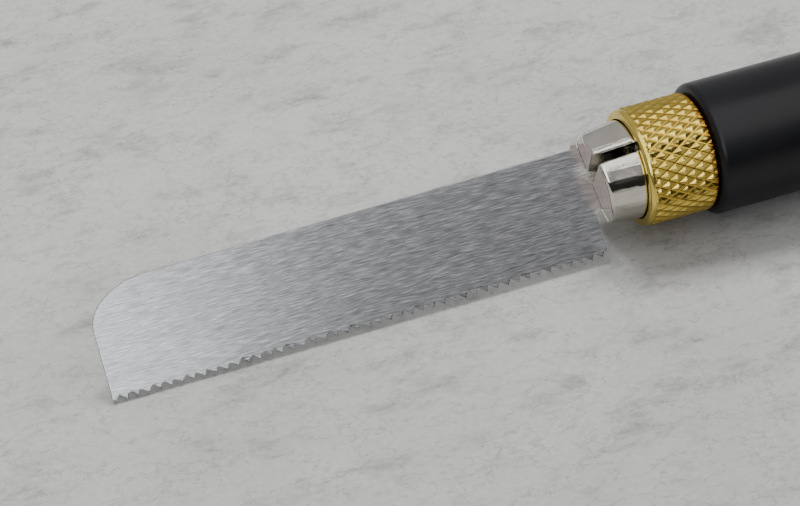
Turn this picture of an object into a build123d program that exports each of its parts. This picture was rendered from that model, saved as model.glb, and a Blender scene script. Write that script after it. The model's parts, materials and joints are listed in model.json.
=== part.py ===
from build123d import *
import math
import os

# Hobby saw: a small flat pull-saw blade held in a four-jaw collet at the front of a
# heavy round knife handle. All sizes are in millimetres.
#
# Everything is drawn in a tool frame first: X runs along the handle axis from the blade
# tip to the butt (X = 0 is the front rim of the grip), Y points to the spine of the
# blade and Z is square to the blade. At the end the tool is rolled about its axis until
# it lies on the grip and on its first tooth, and the origin goes to the middle of its
# footprint on the table.

# grip
GRIP_R = 9.5
GRIP_LENGTH = 114.0
GRIP_FRONT_ROUND = 1.0
GRIP_REAR_ROUND = 2.0
GRIP_BORE_R = 6.0
INSERT_R = 6.5
INSERT_LENGTH = 18.0
INSERT_PROUD = 0.20
PLUG_R = 7.0
PLUG_LENGTH = 9.0
PLUG_NOSE_R = 5.9
PLUG_NOSE_LENGTH = 5.0

# collar
COLLAR_R = 8.55
COLLAR_FRONT = -10.55
COLLAR_REAR = -0.28
LIP_LENGTH = 0.80
LIP_R = 8.43
LIP_ROUND = 0.62
COLLAR_REAR_CHAMFER = 0.40
MOUTH_R = 7.31
WEB_FRONT = -2.6
WEB_HOLE_R = 4.80
LUG_WIDTH = 0.85
LUG_INNER_R = 3.1

# collet
NOSE_FACE = -16.3
NOSE_FRONT_R = 6.42
NOSE_EDGE = 0.30
NOSE_SKEW = 7.0
HEAD_R = 7.20
HEAD_X = -10.85
CONE_ANGLE = 14.0
CONE_GAP = 0.05
CONE_REAR = -3.0
NECK_R = 4.4
JAW_ROOT = 6.0
BLADE_SLIT = 0.52
CROSS_SLIT = 1.15
SLIT_LEAN = 25.4
SLIT_FLARE_HALF = 0.87
SLIT_FLARE_LENGTH = 1.3
TEETH_BEVEL_Y = 4.45
TEETH_BEVEL_RUN = 0.60
SPINE_CORNER_Y = 4.75
SPINE_CORNER_RUN = 1.52
SPINE_CORNER_R = 1.72
SLIT_ROUND = 0.50
THREAD_MAJOR_R = 4.0
THREAD_MINOR_R = 3.45
THREAD_PITCH = 1.0
THREAD_START = 8.0
TAIL_END = 20.0
THREAD_GAP = 0.06

# blade
BLADE_THICKNESS = 0.50
BLADE_FRONT = -89.38
FIRST_TIP = -88.93
BLADE_HEEL = -16.71
SPINE_Y = 4.77
TOOTH_TIP_Y = -10.95
TOOTH_PITCH = 1.5875
TOOTH_COUNT = 46
TOOTH_DEPTH = 0.80
GULLET_R = 0.30
RAKE_RUN = 0.12
TOOTH_SET = 7.0
CORNER_BACK = 9.0
CORNER_DROP = 5.95
TANG_HALF = 4.45
TANG_END = 3.6
TANG_CORNER = 0.8
BLADE_CANT = 0.67
BLADE_PIVOT = (-16.5, 0.0)


def revolved(points):
    """A body turned about the handle axis from (x, radius) corners."""
    with BuildPart() as turned:
        with BuildSketch(Plane.XY):
            with BuildLine():
                Polyline(*points, close=True)
            make_face()
        revolve(axis=Axis.X, revolution_arc=360)
    return turned.part


def rounded_rim(part, x, radius, size):
    """Round the circular edge at x and radius."""
    rims = [
        e
        for e in part.edges().filter_by(GeomType.CIRCLE)
        if abs(e.radius - radius) < 1e-3 and abs(e.center().X - x) < 1e-3
    ]
    return fillet(rims, size)


def bevelled_rim(part, x, radius, size):
    """Chamfer the circular edge at x and radius."""
    rims = [
        e
        for e in part.edges().filter_by(GeomType.CIRCLE)
        if abs(e.radius - radius) < 1e-3 and abs(e.center().X - x) < 1e-3
    ]
    return chamfer(rims, size)


def block(x0, x1, y0, y1, z0, z1):
    """A box between two corners."""
    size = Box(x1 - x0, y1 - y0, z1 - z0)
    return Pos((x0 + x1) / 2, (y0 + y1) / 2, (z0 + z1) / 2) * size


def make_grip():
    """Moulded round grip with a stepped bore for the insert and the plug."""
    rear_step = GRIP_LENGTH - PLUG_LENGTH
    body = revolved(
        [
            (0, INSERT_R),
            (0, GRIP_R),
            (GRIP_LENGTH, GRIP_R),
            (GRIP_LENGTH, PLUG_R),
            (rear_step, PLUG_R),
            (rear_step, GRIP_BORE_R),
            (INSERT_LENGTH, GRIP_BORE_R),
            (INSERT_LENGTH, INSERT_R),
        ]
    )
    body = rounded_rim(body, 0, GRIP_R, GRIP_FRONT_ROUND)
    return rounded_rim(body, GRIP_LENGTH, GRIP_R, GRIP_REAR_ROUND)


def make_insert():
    """Pressed bush that carries the thread for the collet tail."""
    thread_r = THREAD_MAJOR_R + THREAD_GAP
    body = revolved(
        [
            (-INSERT_PROUD, WEB_HOLE_R),
            (-INSERT_PROUD, INSERT_R),
            (INSERT_LENGTH, INSERT_R),
            (INSERT_LENGTH, thread_r),
            (THREAD_START, thread_r),
            (THREAD_START - 0.7, WEB_HOLE_R),
        ]
    )
    return bevelled_rim(body, INSERT_LENGTH, INSERT_R, 0.4)


def make_plug():
    """Plug that closes the butt, with a narrower nose inside the grip."""
    inner = GRIP_LENGTH - PLUG_LENGTH
    nose_end = inner - PLUG_NOSE_LENGTH
    body = revolved(
        [
            (GRIP_LENGTH, 0),
            (GRIP_LENGTH, PLUG_R),
            (inner, PLUG_R),
            (inner, PLUG_NOSE_R),
            (nose_end, PLUG_NOSE_R),
            (nose_end, 0),
        ]
    )
    return bevelled_rim(body, nose_end, PLUG_NOSE_R, 0.8)


def make_collar():
    """Closing collar: coned mouth, web behind it and two lugs for the cross slit."""
    slope = math.tan(math.radians(CONE_ANGLE))
    cone_rear_r = MOUTH_R - (WEB_FRONT - COLLAR_FRONT) * slope
    lip_end = COLLAR_FRONT + LIP_LENGTH
    body = revolved(
        [
            (COLLAR_FRONT, MOUTH_R),
            (COLLAR_FRONT, LIP_R),
            (lip_end, LIP_R),
            (lip_end, COLLAR_R),
            (COLLAR_REAR, COLLAR_R),
            (COLLAR_REAR, WEB_HOLE_R),
            (WEB_FRONT, WEB_HOLE_R),
            (WEB_FRONT, cone_rear_r),
        ]
    )
    body = rounded_rim(body, COLLAR_FRONT, LIP_R, LIP_ROUND)
    body = bevelled_rim(body, COLLAR_REAR, COLLAR_R, COLLAR_REAR_CHAMFER)
    lug_reach = WEB_HOLE_R + 0.4
    for side in (1, -1):
        z0 = side * LUG_INNER_R
        z1 = side * lug_reach
        lug = block(
            WEB_FRONT, COLLAR_REAR,
            -LUG_WIDTH / 2, LUG_WIDTH / 2,
            min(z0, z1), max(z0, z1),
        )
        body = body + Rot(X=-SLIT_LEAN) * lug
    return body


def make_head():
    """Turned and faced outline that the four jaws are slit from."""
    slope = math.tan(math.radians(CONE_ANGLE))
    cone_rear_r = HEAD_R - (CONE_REAR - HEAD_X) * slope
    nose_slope = (HEAD_R - NOSE_FRONT_R) / (HEAD_X - NOSE_FACE)
    blank_front = NOSE_FACE - 1.0
    body = revolved(
        [
            (blank_front, 0),
            (blank_front, NOSE_FRONT_R - nose_slope),
            (HEAD_X - 0.25, HEAD_R - 0.06),
            (HEAD_X, HEAD_R - CONE_GAP),
            (CONE_REAR, cone_rear_r - CONE_GAP),
            (CONE_REAR + 0.5, NECK_R),
            (JAW_ROOT, NECK_R),
            (JAW_ROOT, 0),
        ]
    )
    # The nose is faced off slightly out of square, so its spine side stands prouder.
    facing = Pos(NOSE_FACE, 0, 0) * Rot(Z=NOSE_SKEW) * Pos(-5, 0, 0) * Box(10, 30, 30)
    body = body - facing
    rim = [
        e
        for e in body.edges()
        if e.center().X < NOSE_FACE + 1.5 and e.length > 20
    ]
    return chamfer(rim, NOSE_EDGE, NOSE_EDGE)


def on_slit_mouth(edge, half_width):
    """True for a long edge where a wall of the cross slit meets the coned outside."""
    middle = edge.center()
    lean = math.radians(SLIT_LEAN)
    across = middle.Y * math.cos(lean) - middle.Z * math.sin(lean)
    outward = abs(middle.Y * math.sin(lean) + middle.Z * math.cos(lean))
    beside = abs(abs(across) - half_width) < 0.02
    return beside and outward > 5.5 and middle.X < HEAD_X and edge.length > 3.0


def make_jaw(head, side_y, side_z):
    """One quarter of the collet, with its corner rounded or bevelled beside the blade."""
    reach = 20.0
    y0 = CROSS_SLIT / 2
    z0 = BLADE_SLIT / 2
    lean = Rot(X=-SLIT_LEAN)
    above_blade = block(
        NOSE_FACE - 2, JAW_ROOT,
        -reach, reach,
        min(side_z * z0, side_z * reach), max(side_z * z0, side_z * reach),
    )
    beside_slit = block(
        NOSE_FACE - 2, JAW_ROOT,
        min(side_y * y0, side_y * reach), max(side_y * y0, side_y * reach),
        -reach, reach,
    )
    jaw = head & above_blade & (lean * beside_slit)
    # The long edge of the cross slit is eased where it meets the outside.
    eased = [e for e in jaw.edges() if on_slit_mouth(e, y0)]
    jaw = fillet(eased, SLIT_ROUND)
    # The cross slit flares toward the front.
    flare_end = NOSE_FACE + SLIT_FLARE_LENGTH
    flare_slope = (SLIT_FLARE_HALF - y0) / SLIT_FLARE_LENGTH
    flare_front = NOSE_FACE - 2
    front_half = y0 + flare_slope * (flare_end - flare_front)
    with BuildPart() as flare:
        with BuildSketch(Plane.XY):
            with BuildLine():
                Polyline(
                    (flare_front, 0),
                    (flare_front, side_y * front_half),
                    (flare_end, side_y * y0),
                    (flare_end, 0),
                    close=True,
                )
            make_face()
        extrude(amount=reach, both=True)
    jaw = jaw - lean * flare.part
    return jaw - corner_cut(side_y, reach)


def corner_cut(side_y, reach):
    """What is missing from the nose's corner beside one edge of the blade."""
    start_y = SPINE_CORNER_Y if side_y > 0 else TEETH_BEVEL_Y
    run = SPINE_CORNER_RUN if side_y > 0 else TEETH_BEVEL_RUN
    face_x = NOSE_FACE - side_y * start_y * math.tan(math.radians(NOSE_SKEW))
    ahead = face_x - 1.0
    outer = NOSE_FRONT_R + 0.5
    nose_slope = (HEAD_R - NOSE_FRONT_R) / (HEAD_X - NOSE_FACE)
    end = (face_x + run, side_y * (NOSE_FRONT_R + nose_slope * (face_x + run - NOSE_FACE)))
    start = (face_x, side_y * start_y)
    with BuildPart() as corner:
        with BuildSketch(Plane.XY):
            with BuildLine():
                if side_y > 0:
                    RadiusArc(start, end, SPINE_CORNER_R)
                else:
                    Line(start, end)
                Polyline(
                    end,
                    (face_x + run, side_y * outer),
                    (ahead, side_y * outer),
                    (ahead, side_y * start_y),
                    start,
                )
            make_face()
        extrude(amount=reach, both=True)
    return corner.part


def make_shank():
    """Solid root of the collet with the drawn-in thread on its tail."""
    points = [(JAW_ROOT, 0), (JAW_ROOT, THREAD_MAJOR_R), (THREAD_START, THREAD_MAJOR_R)]
    x = THREAD_START
    while x + THREAD_PITCH < TAIL_END - 0.8:
        points.append((x + 0.40 * THREAD_PITCH, THREAD_MINOR_R))
        points.append((x + 0.55 * THREAD_PITCH, THREAD_MINOR_R))
        points.append((x + 0.90 * THREAD_PITCH, THREAD_MAJOR_R))
        points.append((x + 1.00 * THREAD_PITCH, THREAD_MAJOR_R))
        x = x + THREAD_PITCH
    points.append((TAIL_END - 0.6, THREAD_MAJOR_R))
    points.append((TAIL_END, THREAD_MINOR_R))
    points.append((TAIL_END, 0))
    return revolved(points)


def make_tooth():
    """One tooth with its tip at (0, 0), the steep pulling face toward the grip."""
    center_x = RAKE_RUN + GULLET_R
    center_y = TOOTH_DEPTH - GULLET_R
    back = math.hypot(TOOTH_PITCH - center_x, center_y)
    lean = math.atan2(center_y, TOOTH_PITCH - center_x) + math.asin(GULLET_R / back)
    run = math.sqrt(back * back - GULLET_R * GULLET_R)
    slope_end = (-run * math.cos(lean), run * math.sin(lean))
    gullet_before = (center_x - TOOTH_PITCH, TOOTH_DEPTH)
    root = TOOTH_DEPTH + 0.3
    with BuildPart() as tooth:
        with BuildSketch(Plane.XY):
            with BuildLine():
                Line((gullet_before[0], root), gullet_before)
                RadiusArc(gullet_before, slope_end, GULLET_R)
                Line(slope_end, (0, 0))
                Line((0, 0), (RAKE_RUN, center_y))
                RadiusArc((RAKE_RUN, center_y), (center_x, TOOTH_DEPTH), GULLET_R)
                Line((center_x, TOOTH_DEPTH), (center_x, root))
                Line((center_x, root), (gullet_before[0], root))
            make_face()
        extrude(amount=BLADE_THICKNESS / 2, both=True)
    return tooth.part


def make_blade():
    """Saw plate with set teeth, a rounded front corner and a tang for the collet."""
    root_y = TOOTH_TIP_Y + TOOTH_DEPTH
    arc_end = (BLADE_FRONT, SPINE_Y - CORNER_DROP)
    arc_start = (BLADE_FRONT + CORNER_BACK, SPINE_Y)
    corner_middle = (BLADE_FRONT + CORNER_BACK, SPINE_Y - CORNER_DROP)
    with BuildPart() as plate:
        with BuildSketch(Plane.XY):
            with BuildLine():
                Line((BLADE_FRONT, root_y), arc_end)
                EllipticalCenterArc(
                    corner_middle, CORNER_BACK, CORNER_DROP,
                    start_angle=90, arc_size=90,
                )
                Polyline(
                    arc_start,
                    (BLADE_HEEL, SPINE_Y),
                    (BLADE_HEEL, TANG_HALF),
                    (TANG_END - TANG_CORNER, TANG_HALF),
                    (TANG_END, TANG_HALF - TANG_CORNER),
                    (TANG_END, TANG_CORNER - TANG_HALF),
                    (TANG_END - TANG_CORNER, -TANG_HALF),
                    (BLADE_HEEL, -TANG_HALF),
                    (BLADE_HEEL, root_y),
                    (BLADE_FRONT, root_y),
                )
            make_face()
        extrude(amount=BLADE_THICKNESS / 2, both=True)
    teeth = []
    for i in range(TOOTH_COUNT + 1):
        tooth = make_tooth()
        swing = TOOTH_SET if i % 2 else -TOOTH_SET
        hinge = Pos(0, TOOTH_DEPTH, 0)
        tooth = hinge * Rot(X=swing) * hinge.inverse() * tooth
        tooth = Pos(FIRST_TIP + i * TOOTH_PITCH, TOOTH_TIP_Y, 0) * tooth
        teeth.append(tooth)
    blade = plate.part + teeth
    keep = block(BLADE_FRONT, TANG_END + 5, -20, 20, -2, 2)
    heel_cut = block(BLADE_HEEL, BLADE_HEEL + 3, -20, -TANG_HALF, -2, 2)
    blade = (blade & keep) - heel_cut
    pivot = Pos(BLADE_PIVOT[0], BLADE_PIVOT[1], 0)
    return pivot * Rot(Z=BLADE_CANT) * pivot.inverse() * blade


def resting_roll(blade):
    """Roll about the axis at which the grip and the lowest tooth share the table."""
    corners = [v.center() for v in blade.vertices()]
    low = 0.0
    high = math.radians(85.0)
    for step in range(60):
        roll = (low + high) / 2
        drop = min(c.Y * math.sin(roll) + c.Z * math.cos(roll) for c in corners)
        if drop < -GRIP_R:
            high = roll
        else:
            low = roll
    return low


head = make_head()
parts = {
    "grip": make_grip(),
    "threaded_insert": make_insert(),
    "butt_plug": make_plug(),
    "collar": make_collar(),
    "collet_shank": make_shank(),
    "jaw_spine_near": make_jaw(head, 1, 1),
    "jaw_spine_far": make_jaw(head, 1, -1),
    "jaw_teeth_near": make_jaw(head, -1, 1),
    "jaw_teeth_far": make_jaw(head, -1, -1),
    "blade": make_blade(),
}

roll = resting_roll(parts["blade"])
front_x = parts["blade"].bounding_box().min.X
middle_x = (front_x + GRIP_LENGTH) / 2
place = Pos(-middle_x, 0, GRIP_R) * Rot(X=math.degrees(roll))

os.makedirs("parts", exist_ok=True)
for name, shape in parts.items():
    placed = place * shape
    placed.label = name
    export_step(placed, "parts/" + name + ".step")
    box = placed.bounding_box()
    print(name, round(placed.volume, 1), placed.is_valid, len(placed.solids()), box)
print("roll", math.degrees(roll), "shift", middle_x)
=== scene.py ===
import json
import math
import random

import bmesh
import bpy
from mathutils import Matrix, Vector, noise


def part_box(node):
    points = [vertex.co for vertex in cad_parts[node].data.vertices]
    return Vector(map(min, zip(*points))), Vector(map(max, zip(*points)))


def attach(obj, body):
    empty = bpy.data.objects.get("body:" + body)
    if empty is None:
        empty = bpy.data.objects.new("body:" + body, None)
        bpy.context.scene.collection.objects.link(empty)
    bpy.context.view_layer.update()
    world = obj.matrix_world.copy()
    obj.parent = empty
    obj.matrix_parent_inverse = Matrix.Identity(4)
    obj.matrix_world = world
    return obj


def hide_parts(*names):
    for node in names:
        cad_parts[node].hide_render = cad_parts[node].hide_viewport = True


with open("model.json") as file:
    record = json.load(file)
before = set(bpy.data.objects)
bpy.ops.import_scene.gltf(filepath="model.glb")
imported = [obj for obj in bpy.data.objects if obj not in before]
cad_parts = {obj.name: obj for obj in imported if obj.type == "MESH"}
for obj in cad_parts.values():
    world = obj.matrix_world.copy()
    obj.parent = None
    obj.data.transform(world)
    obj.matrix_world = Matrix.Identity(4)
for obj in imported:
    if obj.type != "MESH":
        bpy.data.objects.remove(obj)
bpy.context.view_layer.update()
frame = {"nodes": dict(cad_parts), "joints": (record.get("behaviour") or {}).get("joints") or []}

# The tool frame: X along the handle axis with 0 at the grip's front rim, Y toward the
# spine of the blade, Z square to the blade. Lengths inside it are in millimetres until
# a mesh is made. The row frame rolls it about its axis and sets it on the table.
MM = 0.001
GRIP_R = 9.5
RIM_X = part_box("grip")[0].x
JAW_AXIS = next(j["axis"] for j in frame["joints"] if j["name"] == "jaw_spine_near_open")
SLIT_LEAN = math.radians(25.4)
ROLL = math.atan2(JAW_AXIS[2], JAW_AXIS[1]) + (math.pi / 2 + SLIT_LEAN) / 2
TOOL = Matrix.Translation((RIM_X, 0, GRIP_R * MM)) @ Matrix.Rotation(ROLL, 4, "X")
GRIP_LENGTH = (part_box("grip")[1].x - RIM_X) / MM

# grip
GRIP_FRONT_ROUND = 1.0
GRIP_REAR_ROUND = 2.0
GRIP_COLUMNS = 192
GRIP_RINGS = 12
GRIP_BORE_R = 6.0
INSERT_R = 6.5
INSERT_LENGTH = 18.0
INSERT_CHAMFER = 0.15
PLUG_R = 7.0
PLUG_LENGTH = 9.0
PLUG_CHAMFER = 0.12

# collar
COLLAR_R = 8.55
COLLAR_FRONT = -10.55
COLLAR_REAR = -0.28
COLLAR_CHAMFER = 0.40
LIP_R = 8.43
LIP_ROUND = 0.62
LIP_END = -9.85
MOUTH_R = 7.31
CONE_SLOPE = math.tan(math.radians(14.0))
WEB_FRONT = -2.6
WEB_HOLE_R = 4.80
LUG_WIDTH = 0.85
LUG_INNER_R = 3.1
KNURL_STARTS = 37
KNURL_STEPS = 20
KNURL_PITCH = 2.64
KNURL_DEPTH = 0.30
KNURL_RISE = 1.12
KNURL_FLOOR = 0.13
KNURL_FADE = 0.30
KNURL_FADE_WOBBLE = 0.25
KNURL_WEAR = 0.12
WEAR_CELLS = 997
WEAR_SEED = 7
CREST_X = -9.15
CREST_ANGLE = math.radians(70.2)
COLLAR_SHARP = 16.0

# blade
BLADE_HALF = 0.25
BLADE_FRONT = -89.38
FIRST_TIP = -88.93
BLADE_HEEL = -16.71
SPINE_Y = 4.77
TIP_Y = -10.95
TOOTH_PITCH = 1.5875
TOOTH_COUNT = 46
TOOTH_DEPTH = 0.80
TOOTH_JITTER = 0.006
TIP_WEAR = 0.03
TIP_SEED = 11
GULLET_R = 0.30
RAKE_RUN = 0.12
SET_OFFSET = 0.015
TOP_EDGE = 0.45
WORN_WIDTH = 0.10
WORN_DROP = 0.13
FILED_WIDTH = 0.15
FILED_DROP = 0.018
CORNER_BACK = 9.0
CORNER_DROP = 5.95
CORNER_STEPS = 32
TANG_HALF = 4.45
TANG_END = 3.6
TANG_CORNER = 0.8
HEEL_FILLET = 0.35
CANT = math.radians(0.67)
CANT_X = -16.5

# collet
JAW_SPLIT = -9.2
JAW_VOXEL = 0.085
JAW_SMOOTHING = 7
JAW_OVERLAP = 0.05
JAW_SHARP = 40
SAWN_FACING = -0.975
SAWN_BEHIND = -14.5


# ---------------------------------------------------------------- meshes
def to_object(name, verts, faces, body, replaced, smooth_angle=30.0):
    """A new piece from tool-frame millimetre points, riding on a CAD body."""
    mesh = bpy.data.meshes.new(name)
    mesh.from_pydata([TOOL @ (Vector(v) * MM) for v in verts], [], faces)
    mesh.validate()
    finish_mesh(mesh, smooth_angle)
    return place(name, mesh, body, replaced)


def finish_mesh(mesh, smooth_angle):
    """Outward normals, and smooth shading below an edge angle."""
    work = bmesh.new()
    work.from_mesh(mesh)
    bmesh.ops.recalc_face_normals(work, faces=work.faces)
    work.to_mesh(mesh)
    work.free()
    mesh.shade_smooth()
    mesh.set_sharp_from_angle(angle=math.radians(smooth_angle))


def place(name, mesh, body, replaced):
    """Link a mesh that is already in the row frame, attach it to its body and hide the CAD parts
    it stands for.
    """
    piece = bpy.data.objects.new(name, mesh)
    bpy.context.scene.collection.objects.link(piece)
    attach(piece, body)
    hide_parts(*replaced)
    return piece


def arc_profile(center, radius, start, end, steps):
    """(x, r) points on an arc, angles in degrees from +X toward +r."""
    points = []
    for k in range(steps + 1):
        a = math.radians(start + (end - start) * k / steps)
        points.append((center[0] + radius * math.cos(a), center[1] + radius * math.sin(a)))
    return points


def lathe(profile, columns):
    """Vertices and faces of a closed profile turned about the tool's axis."""
    verts = []
    for x, r in profile:
        for c in range(columns):
            a = 2 * math.pi * c / columns
            verts.append((x, r * math.cos(a), r * math.sin(a)))
    faces = []
    rows = len(profile)
    for row in range(rows):
        after = (row + 1) % rows
        for c in range(columns):
            n = (c + 1) % columns
            faces.append((
                row * columns + c, row * columns + n,
                after * columns + n, after * columns + c,
            ))
    return verts, faces


def make_grip():
    """The handle's shell, turned, with its bores for the insert and the plug."""
    front = GRIP_FRONT_ROUND
    rear = GRIP_LENGTH - GRIP_REAR_ROUND
    end = GRIP_LENGTH
    step = end - PLUG_LENGTH
    profile = arc_profile((front, GRIP_R - front), front, 180, 90, 10)
    for k in range(1, GRIP_RINGS):
        profile.append((front + (end - GRIP_REAR_ROUND - front) * k / GRIP_RINGS, GRIP_R))
    profile += arc_profile((rear, GRIP_R - GRIP_REAR_ROUND), GRIP_REAR_ROUND, 90, 0, 12)
    profile += [
        (end, PLUG_R + PLUG_CHAMFER), (end - PLUG_CHAMFER, PLUG_R),
        (step, PLUG_R), (step, GRIP_BORE_R),
        (INSERT_LENGTH, GRIP_BORE_R), (INSERT_LENGTH, INSERT_R),
        (INSERT_CHAMFER, INSERT_R), (0, INSERT_R + INSERT_CHAMFER),
    ]
    verts, faces = lathe(profile, GRIP_COLUMNS)
    return to_object("grip_shell", verts, faces, "handle", ["grip"])


def knurl_height(i, j, worn):
    """0 in a groove and 1 on a crest, where two families of grooves cross."""
    period = KNURL_STEPS
    across = abs(((i + j) % period) - period / 2) / (period / 2)
    along = abs(((i - j) % period) - period / 2) / (period / 2)
    cell = ((i + j) // period * 31 + (i - j) // period * 17) % len(worn)
    return min(max((1 - max(across, along)) * KNURL_RISE, KNURL_FLOOR), worn[cell])


def make_collar():
    """The knurled collar with its plain lip, cone, web and two lugs."""
    rng = random.Random(WEAR_SEED)
    worn = [1.0 - KNURL_WEAR * rng.random() ** 2 for k in range(WEAR_CELLS)]
    columns = KNURL_STARTS * KNURL_STEPS
    row_step = KNURL_PITCH / KNURL_STEPS
    rows = []
    front = arc_profile(
        (COLLAR_FRONT + LIP_ROUND, LIP_R - LIP_ROUND), LIP_ROUND, 180, 90, 9
    )
    rows.append((COLLAR_FRONT + 0.10, MOUTH_R - 0.10, None))
    rows.append((COLLAR_FRONT, MOUTH_R - 0.04, None))
    for x, r in front:
        rows.append((x, max(r, MOUTH_R - 0.02), None))
    # Row numbers count from the crest row, so a crest stands at CREST_X and CREST_ANGLE.
    first = math.ceil((LIP_END - 0.15 - CREST_X) / row_step)
    last = math.floor((COLLAR_REAR - 0.02 - CREST_X) / row_step)
    for j in range(first, last + 1):
        rows.append((CREST_X + j * row_step, COLLAR_R, j + KNURL_STEPS // 2))
    rows.append((COLLAR_REAR, COLLAR_R, last + 1 + KNURL_STEPS // 2))
    cone_r = MOUTH_R - (WEB_FRONT - COLLAR_FRONT) * CONE_SLOPE
    for x, r in (
        (COLLAR_REAR, WEB_HOLE_R), (WEB_FRONT, WEB_HOLE_R), (WEB_FRONT, cone_r),
    ):
        rows.append((x, r, None))
    verts = []
    crest = []
    for x, r, j in rows:
        for i in range(columns):
            radius = r
            height = 1.0
            a = CREST_ANGLE + 2 * math.pi * i / columns
            if j is not None:
                height = knurl_height(i, j, worn)
                wobble = noise.noise(Vector((math.cos(a) * 9, math.sin(a) * 9, 1.7)))
                start = LIP_END - KNURL_FADE_WOBBLE * wobble
                fade = min(1.0, max(0.0, (x - start) / KNURL_FADE))
                radius = LIP_R + (COLLAR_R - LIP_R) * min(1.0, fade * 1.4)
                radius -= KNURL_DEPTH * (1 - height) * fade
                radius = min(radius, COLLAR_R - COLLAR_CHAMFER + COLLAR_REAR - x)
                height = 1 - (1 - height) * fade
            verts.append((x, radius * math.cos(a), radius * math.sin(a)))
            crest.append(height)
    faces = []
    count = len(rows)
    for k in range(count):
        after = (k + 1) % count
        j = rows[k][2]
        for i in range(columns):
            n = (i + 1) % columns
            p = k * columns + i
            q = k * columns + n
            s = after * columns + n
            t = after * columns + i
            if j is not None and rows[after][2] is not None:
                if (i + j + 1) % KNURL_STEPS == 0:
                    faces += [(p, q, t), (q, s, t)]
                    continue
                if (i - j) % KNURL_STEPS == 0:
                    faces += [(p, q, s), (p, s, t)]
                    continue
            faces.append((p, q, s, t))
    for side in (1, -1):
        base = len(verts)
        y = LUG_WIDTH / 2
        lug_foot = WEB_HOLE_R + 0.3
        lean = Matrix.Rotation(-SLIT_LEAN, 3, "X")
        for x in (WEB_FRONT, COLLAR_REAR):
            for dy, dz in (
                (-y, LUG_INNER_R), (y, LUG_INNER_R), (y, lug_foot), (-y, lug_foot),
            ):
                verts.append(tuple(lean @ Vector((x, dy, side * dz))))
                crest.append(1.0)
        faces += [
            tuple(base + k for k in loop)
            for loop in (
                (0, 1, 2, 3), (4, 7, 6, 5), (0, 4, 5, 1), (1, 5, 6, 2), (2, 6, 7, 3),
                (3, 7, 4, 0),
            )
        ]
    mesh = bpy.data.meshes.new("knurled_collar")
    mesh.from_pydata([TOOL @ (Vector(v) * MM) for v in verts], [], faces)
    layer = mesh.attributes.new("crest", "FLOAT", "POINT")
    layer.data.foreach_set("value", crest)
    finish_mesh(mesh, COLLAR_SHARP)
    return place("knurled_collar", mesh, "collar", ["collar"])


def tooth_outline():
    """(x, y, edge) from gullet bottom to gullet bottom, with the tip at (0, 0); edge is
    how much of the worn and filed strips stands beside the point, 0 to 1."""
    cx = RAKE_RUN + GULLET_R
    cy = TOOTH_DEPTH - GULLET_R
    back = math.hypot(TOOTH_PITCH - cx, cy)
    lean = math.atan2(cy, TOOTH_PITCH - cx) + math.asin(GULLET_R / back)
    run = math.sqrt(back * back - GULLET_R ** 2)
    points = []
    for k in range(5):
        a = math.pi / 2 - lean * k / 4
        x = cx - TOOTH_PITCH + GULLET_R * math.cos(a)
        points.append((x, cy + GULLET_R * math.sin(a), min(1.0, k / 2)))
    for k in range(1, 5):
        f = k / 5
        points.append((-run * math.cos(lean) * (1 - f), run * math.sin(lean) * (1 - f), 1.0))
    points.append((-0.02, 0.012, 0.8))
    points.append((0.02, 0.03, 0.5))
    points.append((RAKE_RUN * 0.5, cy * 0.5, 0.35))
    for k in range(6):
        a = math.pi - math.pi / 2 * k / 5
        x = cx + GULLET_R * math.cos(a)
        points.append((x, cy + GULLET_R * math.sin(a), 0.35 * (1 - k / 5)))
    return points


def tooth_chain(i, outline, worn):
    """Tooth number i's lower edge in the blade's plane, cut at the blade's two ends."""
    tip_x = FIRST_TIP + i * TOOTH_PITCH
    chain = []
    for x, y, width in outline:
        jitter = TOOTH_JITTER * noise.noise(Vector((x * 3 + i * 5.1, y * 4, 0.3)))
        chain.append((tip_x + x + jitter, TIP_Y + max(y, worn), width))
    chain[0] = (tip_x + outline[0][0], TIP_Y + TOOTH_DEPTH, 0.0)
    chain[-1] = (tip_x + outline[-1][0], TIP_Y + TOOTH_DEPTH, 0.0)
    for limit, keep_above in ((BLADE_FRONT, True), (BLADE_HEEL, False)):
        kept = []
        for k, p in enumerate(chain):
            inside = p[0] >= limit if keep_above else p[0] <= limit
            if k:
                q = chain[k - 1]
                was_inside = q[0] >= limit if keep_above else q[0] <= limit
                if inside != was_inside:
                    f = (limit - q[0]) / (p[0] - q[0])
                    kept.append((limit, q[1] + f * (p[1] - q[1]), 0.0))
            if inside:
                kept.append(p)
        chain = kept
    return chain


def inset(chain, reach_in):
    """The chain moved inward, toward the blade's middle, by its points' share of a width."""
    moved = []
    for k, (x, y, share) in enumerate(chain):
        width = share * reach_in
        if width < 1e-6:
            moved.append((x, y))
            continue
        ax, ay = chain[k - 1][:2]
        bx, by = chain[k + 1][:2]
        before = Vector((x - ax, y - ay)).normalized()
        after = Vector((bx - x, by - y)).normalized()
        normal = Vector((-before.y - after.y, before.x + after.x)).normalized()
        reach = width / max(0.55, normal.dot(Vector((-before.y, before.x))))
        moved.append((x + normal.x * reach, y + normal.y * reach))
    return moved


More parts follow.
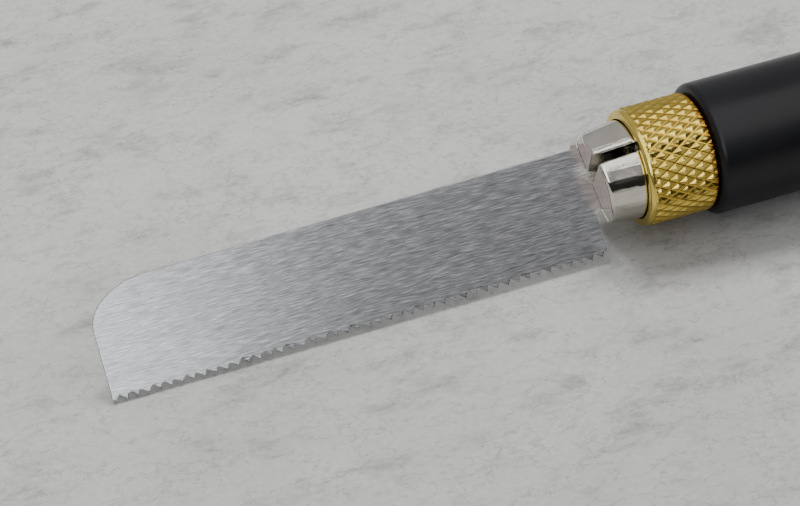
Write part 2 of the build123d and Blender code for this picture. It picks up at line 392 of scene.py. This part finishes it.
class BladeMesh:
    """Collects the two faces and the edges of a thin plate in the blade's own plane."""

    def __init__(self, root_y):
        self.work = bmesh.new()
        self.made = {}
        self.root_y = root_y

    def vertex(self, x, y, side, drop=0.0, lean=0):
        if y > self.root_y - 1e-4:
            lean = 0
        key = (round(x, 3), round(y, 3), side, round(drop, 3), lean)
        if key not in self.made:
            below = max(0.0, self.root_y - y) / TOOTH_DEPTH
            z = side * (BLADE_HALF - drop) + lean * SET_OFFSET * below
            c, s = math.cos(CANT), math.sin(CANT)
            dx = x - CANT_X
            spot = Vector((CANT_X + c * dx - s * y, s * dx + c * y, z))
            self.made[key] = self.work.verts.new(TOOL @ (spot * MM))
        return self.made[key]

    def face(self, corners):
        ring = [v for k, v in enumerate(corners) if v is not corners[k - 1]]
        if len(set(ring)) != len(ring) or len(ring) < 3 or self.work.faces.get(ring):
            return None
        return self.work.faces.new(ring)

    def both_sides(self, loop, lean=0):
        for side in (1, -1):
            self.face([self.vertex(x, y, side, 0.0, lean) for x, y in loop][::side])

    def strip(self, near, near_drops, far, far_drops, finish, lean):
        """Quads between two chains on both sides of the plate."""
        for k in range(len(near) - 1):
            for side in (1, -1):
                made = self.face([
                    self.vertex(*near[k][:2], side, near_drops[k], lean),
                    self.vertex(*near[k + 1][:2], side, near_drops[k + 1], lean),
                    self.vertex(*far[k + 1][:2], side, far_drops[k + 1], lean),
                    self.vertex(*far[k][:2], side, far_drops[k], lean),
                ])
                if made:
                    made.material_index = finish

    def edge(self, outer, lean=0):
        """The filed strip, the worn strip and the wall along an outline; gives its inset copy.
        The filed strip takes the painted glint, the worn strip and the wall the painted
        near-black shade.
        """
        shares = [p[2] for p in outer]
        middle = inset(outer, WORN_WIDTH)
        inner = inset(outer, WORN_WIDTH + FILED_WIDTH)
        level = [0.0] * len(outer)
        filed = [FILED_DROP * share for share in shares]
        worn = [WORN_DROP * share for share in shares]
        self.strip(inner, level, middle, filed, 1, lean)
        self.strip(middle, filed, outer, worn, 2, lean)
        for k in range(len(outer) - 1):
            (x0, y0), (x1, y1) = outer[k][:2], outer[k + 1][:2]
            made = self.face([
                self.vertex(x0, y0, 1, worn[k], lean),
                self.vertex(x1, y1, 1, worn[k + 1], lean),
                self.vertex(x1, y1, -1, worn[k + 1], lean),
                self.vertex(x0, y0, -1, worn[k], lean),
            ])
            if made:
                made.material_index = 2
        return inner


def make_blade():
    """The plate with its teeth, set left and right in turn, and its tang."""
    rng = random.Random(TIP_SEED)
    root_y = TIP_Y + TOOTH_DEPTH
    blade = BladeMesh(root_y)
    outline = tooth_outline()
    roots = [BLADE_FRONT]
    for i in range(TOOTH_COUNT + 1):
        chain = tooth_chain(i, outline, TIP_WEAR * rng.random() ** 2)
        if i == 0:
            chain.insert(0, (BLADE_FRONT, root_y, 0.0))
        if i == TOOTH_COUNT:
            chain.append((BLADE_HEEL, root_y, 0.0))
        roots.append(chain[-1][0])
        lean = 1 if i % 2 else -1
        blade.both_sides(blade.edge(chain, lean), lean)
    # The top outline, from the front corner's foot over the spine to the heel.
    middle = (BLADE_FRONT + CORNER_BACK, SPINE_Y - CORNER_DROP)
    top = [(BLADE_FRONT, root_y, 0.0), (BLADE_FRONT, root_y + 0.3, TOP_EDGE)]
    for k in range(CORNER_STEPS + 1):
        a = math.pi - math.pi / 2 * k / CORNER_STEPS
        x = middle[0] + CORNER_BACK * math.cos(a)
        top.append((x, middle[1] + CORNER_DROP * math.sin(a), TOP_EDGE))
    for x in roots:
        if middle[0] + 0.2 < x < BLADE_HEEL - 0.2:
            top.append((x, SPINE_Y, TOP_EDGE))
    top += [(BLADE_HEEL - 0.1, SPINE_Y, TOP_EDGE), (BLADE_HEEL, SPINE_Y, 0.0)]
    ring = blade.edge(top[::-1])[::-1]
    # Upright strips fill each side between the roots and the inset outline. A strip ends
    # at the outline point above its root; points on the foot side don't count.
    foot_side = 50
    heel_low = (BLADE_HEEL, -TANG_HALF - HEEL_FILLET)
    start = 0
    for k in range(len(roots) - 1):
        x0, x1 = roots[k], roots[k + 1]
        last = k == len(roots) - 2
        stop = len(ring) - 1
        if not last:
            away = [abs(x - x1) + (0 if y > 0 else foot_side) for x, y in ring]
            stop = max(away.index(min(away)), start)
        loop = [(x0, root_y)] + ring[start:stop + 1] + [(x1, root_y)]
        if last:
            loop.insert(-1, (BLADE_HEEL, TANG_HALF))
            loop.insert(-1, heel_low)
        loop = [p for j, p in enumerate(loop) if j == 0 or math.dist(p, loop[j - 1]) > 1e-4]
        if math.dist(loop[0], loop[-1]) < 1e-4:
            loop.pop()
        blade.both_sides(loop[::-1])
        start = stop
    wall = [
        (BLADE_HEEL, root_y), heel_low,
        (BLADE_HEEL + 0.10, -TANG_HALF - 0.10), (BLADE_HEEL + HEEL_FILLET, -TANG_HALF),
        (TANG_END - TANG_CORNER, -TANG_HALF), (TANG_END, TANG_CORNER - TANG_HALF),
        (TANG_END, TANG_HALF - TANG_CORNER), (TANG_END - TANG_CORNER, TANG_HALF),
        (BLADE_HEEL, TANG_HALF), (BLADE_HEEL, SPINE_Y),
    ]
    blade.edge([(x, y, 0.0) for x, y in wall])
    blade.both_sides(wall[1:-1])
    bmesh.ops.recalc_face_normals(blade.work, faces=blade.work.faces)
    mesh = bpy.data.meshes.new("saw_blade")
    blade.work.to_mesh(mesh)
    blade.work.free()
    mesh.shade_flat()
    return place("saw_blade", mesh, "blade", ["blade"])


def cut_off(mesh, x, keep_front):
    """The part of a mesh on one side of a plane across the tool, closed at the plane."""
    work = bmesh.new()
    work.from_mesh(mesh)
    geometry = work.verts[:] + work.edges[:] + work.faces[:]
    cut = bmesh.ops.bisect_plane(
        work, geom=geometry, plane_co=(RIM_X + x * MM, 0, 0), plane_no=(1, 0, 0),
        clear_outer=keep_front, clear_inner=not keep_front,
    )
    rim = [e for e in cut["geom_cut"] if isinstance(e, bmesh.types.BMEdge)]
    bmesh.ops.contextual_create(work, geom=rim)
    bmesh.ops.triangulate(work, faces=work.faces)
    return work


def make_jaw(name):
    """The CAD jaw's shape with the edges of its nose worn round."""
    source = frame["nodes"][name].data.copy()
    work = bmesh.new()
    work.from_mesh(source)
    bmesh.ops.remove_doubles(work, verts=work.verts, dist=1e-7)
    work.to_mesh(source)
    work.free()
    nose_mesh = bpy.data.meshes.new(name + "_plated")
    nose = cut_off(source, JAW_SPLIT, True)
    nose.to_mesh(nose_mesh)
    nose.free()
    piece = place(name + "_plated", nose_mesh, name, [name])
    remesh = piece.modifiers.new("remesh", "REMESH")
    remesh.mode = "VOXEL"
    remesh.voxel_size = JAW_VOXEL * MM
    soften = piece.modifiers.new("soften", "SMOOTH")
    soften.factor = 0.5
    soften.iterations = JAW_SMOOTHING
    bpy.context.view_layer.update()
    rounded = bpy.data.meshes.new_from_object(
        piece.evaluated_get(bpy.context.evaluated_depsgraph_get())
    )
    piece.modifiers.clear()
    rear = cut_off(source, JAW_SPLIT + JAW_OVERLAP, False)
    rear.from_mesh(rounded)
    rear.to_mesh(rounded)
    rear.free()
    rounded.name = name + "_plated"
    piece.data = rounded
    rounded.shade_smooth()
    rounded.set_sharp_from_angle(angle=math.radians(JAW_SHARP))
    return piece


grip = make_grip()
collar = make_collar()
blade = make_blade()
jaw_names = ["jaw_spine_near", "jaw_spine_far", "jaw_teeth_near", "jaw_teeth_far"]
jaws = [make_jaw(name) for name in jaw_names]


# ---------------------------------------------------------------- materials
def material(name):
    mat = bpy.data.materials.new(name)
    mat.use_nodes = True
    nodes = mat.node_tree.nodes
    links = mat.node_tree.links
    shader = nodes["Principled BSDF"]
    return mat, nodes, links, shader


def tool_place(nodes, links, stretch=(1, 1, 1)):
    """The shaded point in the tool frame, in metres, stretched along its axes."""
    place_in = nodes.new("ShaderNodeTexCoord")
    mapping = nodes.new("ShaderNodeMapping")
    mapping.vector_type = "TEXTURE"
    mapping.inputs["Location"].default_value = TOOL.translation
    mapping.inputs["Rotation"].default_value = (ROLL, 0, 0)
    mapping.inputs["Scale"].default_value = [1 / k for k in stretch]
    links.new(place_in.outputs["Object"], mapping.inputs["Vector"])
    return mapping


def multiply(nodes, links, first, second, output="Color"):
    """Two colours multiplied; the first comes from its named output."""
    colour = nodes.new("ShaderNodeMix")
    colour.data_type = "RGBA"
    colour.blend_type = "MULTIPLY"
    colour.inputs["Factor"].default_value = 1.0
    links.new(first.outputs[output], colour.inputs["A"])
    links.new(second.outputs["Color"], colour.inputs["B"])
    return colour


def noise_node(nodes, links, scale, detail=3.0, stretch=(1, 1, 1), rough=0.5):
    """Noise over the tool frame, stretched along its axes."""
    mapping = tool_place(nodes, links, stretch)
    node = nodes.new("ShaderNodeTexNoise")
    node.inputs["Scale"].default_value = scale
    node.inputs["Detail"].default_value = detail
    node.inputs["Roughness"].default_value = rough
    links.new(mapping.outputs["Vector"], node.inputs["Vector"])
    return node


def ramp(nodes, links, source, stops):
    """A colour ramp over a value output; stops are (position, colour)."""
    node = nodes.new("ShaderNodeValToRGB")
    band = node.color_ramp
    while len(band.elements) < len(stops):
        band.elements.new(0.5)
    for element, (position, colour) in zip(band.elements, stops):
        element.position = position
        element.color = (*colour, 1) if len(colour) == 3 else colour
    links.new(source, node.inputs["Fac"])
    return node


def grey(value):
    return (value, value, value)


def bump(nodes, links, height, distance, strength, under=None):
    node = nodes.new("ShaderNodeBump")
    node.inputs["Distance"].default_value = distance
    node.inputs["Strength"].default_value = strength
    links.new(height, node.inputs["Height"])
    if under:
        links.new(under.outputs["Normal"], node.inputs["Normal"])
    return node


def black_satin(name):
    mat, nodes, links, shader = material(name)
    shader.inputs["IOR"].default_value = 1.5
    shader.inputs["Specular IOR Level"].default_value = 0.27
    cloud = noise_node(nodes, links, 60, 4)
    tone = ramp(nodes, links, cloud.outputs["Fac"], [
        (0.3, (0.0058, 0.0060, 0.0074)), (0.7, (0.0100, 0.0103, 0.0125)),
    ])
    specks = nodes.new("ShaderNodeTexVoronoi")
    specks.inputs["Scale"].default_value = 260
    coords = nodes.new("ShaderNodeTexCoord")
    links.new(coords.outputs["Object"], specks.inputs["Vector"])
    near = ramp(nodes, links, specks.outputs["Distance"], [(0.020, grey(1)), (0.040, grey(0))])
    pick = nodes.new("ShaderNodeSeparateColor")
    links.new(specks.outputs["Color"], pick.inputs["Color"])
    chosen = ramp(nodes, links, pick.outputs["Red"], [(0.86, grey(0)), (0.88, grey(0.75))])
    dust = nodes.new("ShaderNodeMath")
    dust.operation = "MULTIPLY"
    links.new(near.outputs["Color"], dust.inputs[0])
    links.new(chosen.outputs["Color"], dust.inputs[1])
    colour = nodes.new("ShaderNodeMix")
    colour.data_type = "RGBA"
    colour.inputs["B"].default_value = (0.55, 0.55, 0.52, 1)
    links.new(dust.outputs["Value"], colour.inputs["Factor"])
    links.new(tone.outputs["Color"], colour.inputs["A"])
    links.new(colour.outputs["Result"], shader.inputs["Base Color"])
    fine = noise_node(nodes, links, 2600, 3)
    rough = ramp(nodes, links, cloud.outputs["Fac"], [(0.25, grey(0.30)), (0.75, grey(0.38))])
    links.new(rough.outputs["Color"], shader.inputs["Roughness"])
    skin = bump(nodes, links, fine.outputs["Fac"], 0.00003, 0.35)
    links.new(skin.outputs["Normal"], shader.inputs["Normal"])
    return mat


def knurled_brass(name):
    mat, nodes, links, shader = material(name)
    shader.inputs["Metallic"].default_value = 1.0
    crest = nodes.new("ShaderNodeAttribute")
    crest.attribute_name = "crest"
    cloud = noise_node(nodes, links, 420, 4)
    # Darker and browner toward the groove bottoms: painted shade in the grooves, together with
    # grime.
    groove_shade_and_grime = ramp(nodes, links, crest.outputs["Fac"], [
        (0.10, (0.62, 0.41, 0.065)), (0.30, (0.72, 0.515, 0.10)),
        (0.9, (0.86, 0.66, 0.155)),
    ])
    tint = ramp(nodes, links, cloud.outputs["Fac"], [
        (0.3, (0.80, 0.78, 0.74)), (0.7, (1.0, 1.0, 1.0)),
    ])
    colour = multiply(nodes, links, groove_shade_and_grime, tint)
    # The rear edge, where the knurl is cut off beside the grip, is darkened brown: painted shade
    # where the collar meets the grip.
    spot = tool_place(nodes, links)
    along = nodes.new("ShaderNodeSeparateXYZ")
    links.new(spot.outputs["Vector"], along.inputs["Vector"])
    reach = nodes.new("ShaderNodeMapRange")
    reach.inputs["From Min"].default_value = (COLLAR_REAR - 1.2) * MM
    reach.inputs["From Max"].default_value = COLLAR_REAR * MM
    links.new(along.outputs["X"], reach.inputs["Value"])
    grip_gap_shade = ramp(nodes, links, reach.outputs["Result"], [
        (0.0, (1, 1, 1)), (0.45, (0.95, 0.86, 0.72)), (0.75, (0.62, 0.38, 0.18)),
    ])
    colour = multiply(nodes, links, colour, grip_gap_shade, "Result")
    links.new(colour.outputs["Result"], shader.inputs["Base Color"])
    rough = ramp(nodes, links, cloud.outputs["Fac"], [(0.3, grey(0.14)), (0.7, grey(0.24))])
    links.new(rough.outputs["Color"], shader.inputs["Roughness"])
    fine = noise_node(nodes, links, 5200, 2)
    skin = bump(nodes, links, fine.outputs["Fac"], 0.00002, 0.30)
    links.new(skin.outputs["Normal"], shader.inputs["Normal"])
    return mat


def bright_nickel(name):
    mat, nodes, links, shader = material(name)
    shader.inputs["Metallic"].default_value = 1.0
    cloud = noise_node(nodes, links, 300, 3)
    tone = ramp(nodes, links, cloud.outputs["Fac"], [
        (0.3, (0.60, 0.57, 0.50)), (0.7, (0.72, 0.69, 0.61)),
    ])
    links.new(tone.outputs["Color"], shader.inputs["Base Color"])
    rough = ramp(nodes, links, cloud.outputs["Fac"], [(0.3, grey(0.06)), (0.7, grey(0.12))])
    links.new(rough.outputs["Color"], shader.inputs["Roughness"])
    # Crinkled plating in a band on each side of the cross slit.
    spot = tool_place(nodes, links)
    across = nodes.new("ShaderNodeVectorMath")
    across.operation = "DOT_PRODUCT"
    across.inputs[1].default_value = (0, math.cos(SLIT_LEAN), -math.sin(SLIT_LEAN))
    links.new(spot.outputs["Vector"], across.inputs[0])
    away = nodes.new("ShaderNodeMath")
    away.operation = "ABSOLUTE"
    links.new(across.outputs["Value"], away.inputs[0])
    reach = nodes.new("ShaderNodeMapRange")
    reach.inputs["From Max"].default_value = 3.0 * MM
    links.new(away.outputs["Value"], reach.inputs["Value"])
    band = ramp(nodes, links, reach.outputs["Result"], [
        (0.16, grey(0)), (0.28, grey(1)), (0.55, grey(1)), (0.80, grey(0)),
    ])
    crinkle = noise_node(nodes, links, 1, 3, (900, 2200, 2200), 0.6)
    worked = nodes.new("ShaderNodeMath")
    worked.operation = "MULTIPLY"
    links.new(crinkle.outputs["Fac"], worked.inputs[0])
    links.new(band.outputs["Color"], worked.inputs[1])
    marks = bump(nodes, links, worked.outputs["Value"], 0.00010, 0.9)
    waves = noise_node(nodes, links, 500, 2)
    skin = bump(nodes, links, waves.outputs["Fac"], 0.00005, 0.30, marks)
    links.new(skin.outputs["Normal"], shader.inputs["Normal"])
    return mat


def sawn_nickel(name):
    mat, nodes, links, shader = material(name)
    shader.inputs["Metallic"].default_value = 0.85
    cloud = noise_node(nodes, links, 1800, 4)
    tone = ramp(nodes, links, cloud.outputs["Fac"], [
        (0.3, (0.40, 0.31, 0.275)), (0.7, (0.66, 0.55, 0.50)),
    ])
    links.new(tone.outputs["Color"], shader.inputs["Base Color"])
    rough = ramp(nodes, links, cloud.outputs["Fac"], [(0.3, grey(0.42)), (0.7, grey(0.60))])
    links.new(rough.outputs["Color"], shader.inputs["Roughness"])
    skin = bump(nodes, links, cloud.outputs["Fac"], 0.00006, 0.5)
    links.new(skin.outputs["Normal"], shader.inputs["Normal"])
    return mat


def brushed_blade(name):
    mat, nodes, links, shader = material(name)
    shader.inputs["Metallic"].default_value = 1.0
    grain = noise_node(nodes, links, 1, 4, (380, 7000, 500), 0.66)
    fine = noise_node(nodes, links, 1, 3, (900, 13000, 900), 0.7)
    broad = noise_node(nodes, links, 1, 3, (70, 420, 60), 0.5)
    tone = ramp(nodes, links, grain.outputs["Fac"], [
        (0.34, (0.28, 0.285, 0.30)), (0.50, (0.43, 0.435, 0.45)),
        (0.66, (0.66, 0.665, 0.68)),
    ])
    speck = ramp(nodes, links, fine.outputs["Fac"], [(0.30, grey(0.68)), (0.68, grey(1.0))])
    shade = ramp(nodes, links, broad.outputs["Fac"], [(0.3, grey(0.88)), (0.7, grey(1.0))])
    colour = multiply(nodes, links, multiply(nodes, links, tone, speck), shade, "Result")
    links.new(colour.outputs["Result"], shader.inputs["Base Color"])
    rough = ramp(nodes, links, grain.outputs["Fac"], [(0.3, grey(0.20)), (0.7, grey(0.26))])
    links.new(rough.outputs["Color"], shader.inputs["Roughness"])
    low = bump(nodes, links, fine.outputs["Fac"], 0.000005, 0.4)
    skin = bump(nodes, links, grain.outputs["Fac"], 0.000005, 0.4, low)
    links.new(skin.outputs["Normal"], shader.inputs["Normal"])
    return mat


def blade_edge(name, low, high, roughness):
    """Steel for the blade's edge strips, from one tone to another: the filed strips painted
    bright as their glint, the worn strips and the walls painted near-black as shade.
    """
    mat, nodes, links, shader = material(name)
    shader.inputs["Metallic"].default_value = 1.0
    patches = noise_node(nodes, links, 2400, 3)
    tone = ramp(nodes, links, patches.outputs["Fac"], [(0.3, low), (0.7, high)])
    links.new(tone.outputs["Color"], shader.inputs["Base Color"])
    rough = ramp(nodes, links, patches.outputs["Fac"], [
        (0.3, grey(roughness * 0.8)), (0.7, grey(roughness)),
    ])
    links.new(rough.outputs["Color"], shader.inputs["Roughness"])
    skin = bump(nodes, links, patches.outputs["Fac"], 0.00003, 0.5)
    links.new(skin.outputs["Normal"], shader.inputs["Normal"])
    return mat


def machined_brass(name):
    mat, nodes, links, shader = material(name)
    shader.inputs["Metallic"].default_value = 1.0
    turned = noise_node(nodes, links, 1, 3, (6000, 120, 120))
    tone = ramp(nodes, links, turned.outputs["Fac"], [
        (0.3, (0.62, 0.44, 0.17)), (0.7, (0.80, 0.60, 0.28)),
    ])
    links.new(tone.outputs["Color"], shader.inputs["Base Color"])
    shader.inputs["Roughness"].default_value = 0.32
    skin = bump(nodes, links, turned.outputs["Fac"], 0.00002, 0.4)
    links.new(skin.outputs["Normal"], shader.inputs["Normal"])
    return mat


def moulded_black(name):
    mat, nodes, links, shader = material(name)
    cloud = noise_node(nodes, links, 300, 4)
    tone = ramp(nodes, links, cloud.outputs["Fac"], [
        (0.3, (0.014, 0.014, 0.015)), (0.7, (0.024, 0.024, 0.026)),
    ])
    links.new(tone.outputs["Color"], shader.inputs["Base Color"])
    fine = noise_node(nodes, links, 3200, 3)
    rough = ramp(nodes, links, cloud.outputs["Fac"], [(0.3, grey(0.45)), (0.7, grey(0.60))])
    links.new(rough.outputs["Color"], shader.inputs["Roughness"])
    skin = bump(nodes, links, fine.outputs["Fac"], 0.00004, 0.5)
    links.new(skin.outputs["Normal"], shader.inputs["Normal"])
    return mat


def paint(piece, *mats):
    piece.data.materials.clear()
    for mat in mats:
        piece.data.materials.append(mat)


nickel = bright_nickel("bright_nickel")
sawn = sawn_nickel("sawn_nickel")
paint(grip, black_satin("black_satin"))
paint(collar, knurled_brass("knurled_brass"))
# The filed strips on the teeth are filed steel, painted brighter than the plate to stand in for
# the glint along the tooth slopes.
filed = blade_edge("filed_steel_and_glint", (0.70, 0.70, 0.70), (0.95, 0.95, 0.95), 0.55)
# The worn strips and the plate's edge walls are painted near-black, as the shade along the
# blade's edges.
worn = blade_edge("edge_shade_black", (0.020, 0.018, 0.016), (0.07, 0.065, 0.06), 0.45)
paint(blade, brushed_blade("brushed_steel"), filed, worn)
for jaw in jaws:
    paint(jaw, nickel, sawn)
    for polygon in jaw.data.polygons:
        facing = (
            polygon.normal.x < SAWN_FACING
            and polygon.center.x < RIM_X + SAWN_BEHIND * MM
        )
        polygon.material_index = 1 if facing else 0
paint(frame["nodes"]["collet_shank"], nickel)
paint(frame["nodes"]["threaded_insert"], machined_brass("machined_brass"))
paint(frame["nodes"]["butt_plug"], moulded_black("moulded_black"))


# ---------------------------------------------------------------- table and light
def make_floor():
    work = bmesh.new()
    bmesh.ops.create_grid(work, x_segments=8, y_segments=8, size=1.6)
    mesh = bpy.data.meshes.new("table_top")
    work.to_mesh(mesh)
    work.free()
    floor = bpy.data.objects.new("table_top", mesh)
    bpy.context.scene.collection.objects.link(floor)
    mat, nodes, links, shader = material("table_pale")
    patches = noise_node(nodes, links, 1, 5, (20, 45, 1), 0.65)
    streaks = noise_node(nodes, links, 1, 6, (90, 260, 1), 0.72)
    veins = noise_node(nodes, links, 1, 5, (120, 330, 1), 0.60)
    fibres = noise_node(nodes, links, 1, 4, (900, 1700, 1), 0.6)
    wide = ramp(nodes, links, patches.outputs["Fac"], [
        (0.38, (0.580, 0.580, 0.560)), (0.62, (0.665, 0.663, 0.648)),
    ])
    dark = ramp(nodes, links, streaks.outputs["Fac"], [
        (0.34, grey(0.68)), (0.44, grey(0.91)), (0.50, grey(1.0)),
    ])
    vein = ramp(nodes, links, veins.outputs["Fac"], [
        (0.488, grey(1.0)), (0.500, grey(0.72)), (0.512, grey(1.0)),
    ])
    fine = ramp(nodes, links, fibres.outputs["Fac"], [(0.35, grey(0.90)), (0.60, grey(1.0))])
    colour = multiply(nodes, links, multiply(nodes, links, wide, dark), fine, "Result")
    colour = multiply(nodes, links, colour, vein, "Result")
    links.new(colour.outputs["Result"], shader.inputs["Base Color"])
    shader.inputs["Roughness"].default_value = 0.55
    paint(floor, mat)


def soft_light(name, direction, distance, size, power, colour, aim, direct_only):
    """A rectangular lamp that faces its aim from a direction and distance, in metres."""
    lamp = bpy.data.lights.new(name, "AREA")
    lamp.shape = "RECTANGLE"
    lamp.size, lamp.size_y = size
    lamp.energy = power
    lamp.color = colour
    holder = bpy.data.objects.new(name, lamp)
    holder.location = Vector(aim) + Vector(direction).normalized() * distance
    holder.rotation_mode = "QUATERNION"
    holder.rotation_quaternion = Vector(direction).to_track_quat("Z", "Y")
    bpy.context.scene.collection.objects.link(holder)
    if direct_only:
        # The polished blade would otherwise throw a light patch onto the table.
        lamp.use_nodes = True
        nodes = lamp.node_tree.nodes
        path = nodes.new("ShaderNodeLightPath")
        first = nodes.new("ShaderNodeMath")
        first.operation = "LESS_THAN"
        first.inputs[1].default_value = 0.5
        lamp.node_tree.links.new(path.outputs["Diffuse Depth"], first.inputs[0])
        lamp.node_tree.links.new(first.outputs["Value"], nodes["Emission"].inputs["Strength"])
    return holder


def make_world():
    """A pale studio behind the tool and a darker one ahead of it, lighter upward."""
    world = bpy.data.worlds.new("studio")
    bpy.context.scene.world = world
    world.use_nodes = True
    nodes = world.node_tree.nodes
    links = world.node_tree.links
    background = nodes["Background"]
    coords = nodes.new("ShaderNodeTexCoord")
    parts = nodes.new("ShaderNodeSeparateXYZ")
    links.new(coords.outputs["Generated"], parts.inputs["Vector"])
    rise = nodes.new("ShaderNodeMapRange")
    rise.inputs["From Min"].default_value = -1
    links.new(parts.outputs["Z"], rise.inputs["Value"])
    front = nodes.new("ShaderNodeMapRange")
    front.interpolation_type = "SMOOTHSTEP"
    front.inputs["From Min"].default_value = -0.15
    front.inputs["From Max"].default_value = -0.65
    links.new(parts.outputs["Y"], front.inputs["Value"])
    behind = ramp(nodes, links, rise.outputs["Result"], [
        (0.45, grey(0.30)), (0.55, grey(0.42)), (1.0, grey(0.55)),
    ])
    ahead = ramp(nodes, links, rise.outputs["Result"], [
        (0.50, grey(0.03)), (0.62, grey(0.05)), (0.68, grey(0.32)), (0.81, grey(0.34)),
        (0.88, grey(0.40)), (1.0, grey(0.55)),
    ])
    colour = nodes.new("ShaderNodeMix")
    colour.data_type = "RGBA"
    links.new(front.outputs["Result"], colour.inputs["Factor"])
    links.new(behind.outputs["Color"], colour.inputs["A"])
    links.new(ahead.outputs["Color"], colour.inputs["B"])
    links.new(colour.outputs["Result"], background.inputs["Color"])
    background.inputs["Strength"].default_value = 1.0


make_floor()
make_world()
TOOL_MIDDLE = (-0.03, 0, 0.008)
WINDOW_AIM = (-0.172, 0, 0.008)
overhead = soft_light(
    "overhead_softbox", direction=(0.0, -0.30, 0.92), distance=0.52, size=(0.75, 0.60),
    power=2.0, colour=(1.0, 0.995, 0.98), aim=TOOL_MIDDLE, direct_only=True,
)
overhead.visible_diffuse = False
soft_light(
    "front_window", direction=(0.0, -0.86, 0.50), distance=0.33, size=(0.30, 0.15),
    power=0.42, colour=(0.96, 0.98, 1.0), aim=WINDOW_AIM, direct_only=True,
)
back = soft_light(
    "back_key", direction=(0.06, 0.50, 0.87), distance=0.60, size=(0.50, 0.20),
    power=3.5, colour=(1.0, 1.0, 1.0), aim=TOOL_MIDDLE, direct_only=True,
)
back.visible_glossy = False


CARD_Y = -0.115
CARD_TOP = 0.050
CARD_ENDS = (-0.5, 0.6)


def black_card():
    """A card in front of the tool, seen only in reflections, where the sheet ends."""
    mesh = bpy.data.meshes.new("black_card")
    left, right = CARD_ENDS
    corners = ((left, 0), (right, 0), (right, CARD_TOP), (left, CARD_TOP))
    mesh.from_pydata([(x, CARD_Y, z) for x, z in corners], [], [(0, 1, 2, 3)])
    card = bpy.data.objects.new("black_card", mesh)
    bpy.context.scene.collection.objects.link(card)
    mat, nodes, links, shader = material("card_black")
    weave = noise_node(nodes, links, 900, 2)
    tone = ramp(nodes, links, weave.outputs["Fac"], [(0.3, grey(0.010)), (0.7, grey(0.020))])
    links.new(tone.outputs["Color"], shader.inputs["Base Color"])
    shader.inputs["Roughness"].default_value = 0.9
    paint(card, mat)
    card.visible_camera = False
    card.visible_diffuse = False
    card.visible_shadow = False


black_card()

# ---------------------------------------------------------------- camera
CAMERA_EYE = Vector((-0.173860, -0.342695, 0.297205))
CAMERA_AIM = Vector((-0.058670, -0.004231, 0.0095))
CAMERA_TILT = math.radians(-3.5974)
CAMERA_LENS = 151.41

camera_data = bpy.data.cameras.new("camera")
camera = bpy.data.objects.new("camera", camera_data)
bpy.context.scene.collection.objects.link(camera)
camera_data.sensor_width = 36
camera_data.lens = CAMERA_LENS
camera_data.clip_start = 0.01
camera_data.clip_end = 20
camera.location = CAMERA_EYE
look = (CAMERA_AIM - CAMERA_EYE).to_track_quat("-Z", "Y").to_matrix().to_4x4()
camera.rotation_mode = "QUATERNION"
camera.rotation_quaternion = (look @ Matrix.Rotation(CAMERA_TILT, 4, "Z")).to_quaternion()
bpy.context.scene.camera = camera
